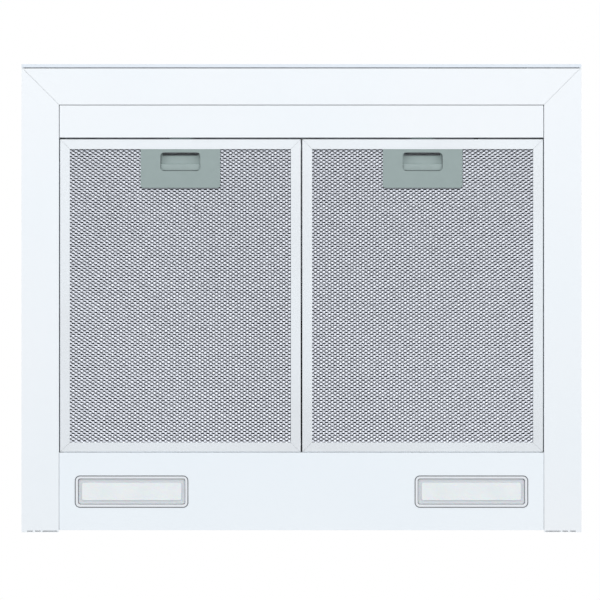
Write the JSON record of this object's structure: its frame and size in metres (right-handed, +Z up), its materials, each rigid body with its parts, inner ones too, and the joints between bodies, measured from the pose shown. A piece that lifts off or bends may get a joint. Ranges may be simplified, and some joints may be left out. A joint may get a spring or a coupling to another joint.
{
  "type": "under cabinet range hood",
  "caption": "Slim under-cabinet range hood with swing-down mesh grease filters, sprung latches, lamps, push buttons and a round top duct.",
  "frame": {"origin": "centre of the cabinet screws, on the top face that meets the cabinet, on the duct axis", "axes": "+X to the right of a person facing the hood, +Y towards the wall, +Z up; the underside is at z = -0.140"},
  "size_m": [0.598, 0.5, 0.176],
  "materials": {
    "white_enamel": "satin white powder coat",
    "white_panel": "satin white powder coat",
    "zinc_steel": "plain zinc-coated sheet",
    "filter_aluminium": "satin",
    "mesh_aluminium": "bright expanded mesh",
    "latch_plastic": "fine-textured grey-green",
    "spring_steel": "bright wire",
    "bezel_plastic": "light grey",
    "frosted_lens": "frosted",
    "circuit_board": "white solder mask",
    "black_plastic": "moulded",
    "grey_plastic": "moulded",
    "motor_steel": "painted steel",
    "shaft_steel": "ground",
    "rubber": "soft",
    "white_plastic": "satin",
    "screw_steel": "zinc plated",
    "lead_sleeve": "sleeved leads"
  },
  "bodies": {
    "hood": {"back_panel": "zinc_steel", "blower_housing": "black_plastic", "button_bezel": "grey_plastic", "cable_gland": "black_plastic", "canopy_shell": "white_enamel", "collar_gasket": "rubber", "damper_pin": "shaft_steel", "discharge_box": "black_plastic", "duct_collar": "black_plastic", "electrics_box": "zinc_steel", "electrics_cover": "zinc_steel", "fan_motor": "motor_steel", "front_cross_rail": "white_enamel", "front_fascia": "white_enamel", "inlet_guard": "black_plastic", "inlet_plate": "black_plastic", "lamp_panel": "white_panel", "led_driver": "white_plastic", "left_lamp_bezel": "bezel_plastic", "left_lamp_board": "circuit_board", "left_lamp_housing": "white_plastic", "left_lamp_lens": "frosted_lens", "left_side_panel": "white_enamel", "motor_bracket": "zinc_steel", "motor_bushes": "rubber", "mounting_rails": "zinc_steel", "pan_head_screws": "screw_steel", "rear_outlet_cover": "zinc_steel", "right_lamp_bezel": "bezel_plastic", "right_lamp_board": "circuit_board", "right_lamp_housing": "white_plastic", "right_lamp_lens": "frosted_lens", "right_side_panel": "white_enamel", "run_capacitor": "white_plastic", "switch_block": "black_plastic", "terminal_block": "white_plastic", "wiring": "lead_sleeve"},
    "left_filter": {"left_filter_frame": "filter_aluminium", "left_filter_mesh": "mesh_aluminium", "left_filter_core": "mesh_aluminium", "left_latch_plate": "latch_plastic", "left_latch_spring": "spring_steel"},
    "left_latch": {"left_latch_slider": "latch_plastic"},
    "right_filter": {"right_filter_frame": "filter_aluminium", "right_filter_mesh": "mesh_aluminium", "right_filter_core": "mesh_aluminium", "right_latch_plate": "latch_plastic", "right_latch_spring": "spring_steel"},
    "right_latch": {"right_latch_slider": "latch_plastic"},
    "fan": {"impeller": "grey_plastic", "motor_shaft": "shaft_steel", "impeller_nut": "screw_steel"},
    "front_damper": {"front_damper_flap": "grey_plastic"},
    "rear_damper": {"rear_damper_flap": "grey_plastic"},
    "off_button": {"off_button": "white_plastic"},
    "low_button": {"low_button": "white_plastic"},
    "medium_button": {"medium_button": "white_plastic"},
    "high_button": {"high_button": "white_plastic"},
    "light_button": {"light_button": "white_plastic"}
  },
  "joints": [
    {"name": "left_filter_swing", "type": "hinge", "parent": "hood", "child": "left_filter", "pos_m": [-0.1294, 0.0735, -0.138], "axis": [1, 0, 0], "range_deg": [0, 60]},
    {"name": "left_latch_slide", "type": "slide", "parent": "left_filter", "child": "left_latch", "axis": [0, 1, 0], "range_m": [0, 0.005], "stiffness_N_per_m": 300, "springref_m": -0.002, "deforming": ["left_latch_spring"]},
    {"name": "right_filter_swing", "type": "hinge", "parent": "hood", "child": "right_filter", "pos_m": [0.1294, 0.0735, -0.138], "axis": [1, 0, 0], "range_deg": [0, 60]},
    {"name": "right_latch_slide", "type": "slide", "parent": "right_filter", "child": "right_latch", "axis": [0, 1, 0], "range_m": [0, 0.005], "stiffness_N_per_m": 300, "springref_m": -0.002, "deforming": ["right_latch_spring"]},
    {"name": "fan_spin", "type": "hinge", "parent": "hood", "child": "fan", "pos_m": [-0.165, -0.06, -0.05], "axis": [0, 0, 1], "continuous": true},
    {"name": "front_damper_swing", "type": "hinge", "parent": "hood", "child": "front_damper", "pos_m": [0, 0, 0.014], "axis": [-1, 0, 0], "range_deg": [0, 75]},
    {"name": "rear_damper_swing", "type": "hinge", "parent": "hood", "child": "rear_damper", "pos_m": [0, 0, 0.014], "axis": [1, 0, 0], "range_deg": [0, 75]},
    {"name": "off_press", "type": "slide", "parent": "hood", "child": "off_button", "axis": [0, 1, 0], "range_m": [0, 0.003], "stiffness_N_per_m": 250, "springref_m": -0.002},
    {"name": "low_press", "type": "slide", "parent": "hood", "child": "low_button", "axis": [0, 1, 0], "range_m": [0, 0.003], "stiffness_N_per_m": 250, "springref_m": -0.002},
    {"name": "medium_press", "type": "slide", "parent": "hood", "child": "medium_button", "axis": [0, 1, 0], "range_m": [0, 0.003], "stiffness_N_per_m": 250, "springref_m": -0.002},
    {"name": "high_press", "type": "slide", "parent": "hood", "child": "high_button", "axis": [0, 1, 0], "range_m": [0, 0.003], "stiffness_N_per_m": 250, "springref_m": -0.002},
    {"name": "light_press", "type": "slide", "parent": "hood", "child": "light_button", "axis": [0, 1, 0], "range_m": [0, 0.003], "stiffness_N_per_m": 250, "springref_m": -0.002}
  ]
}
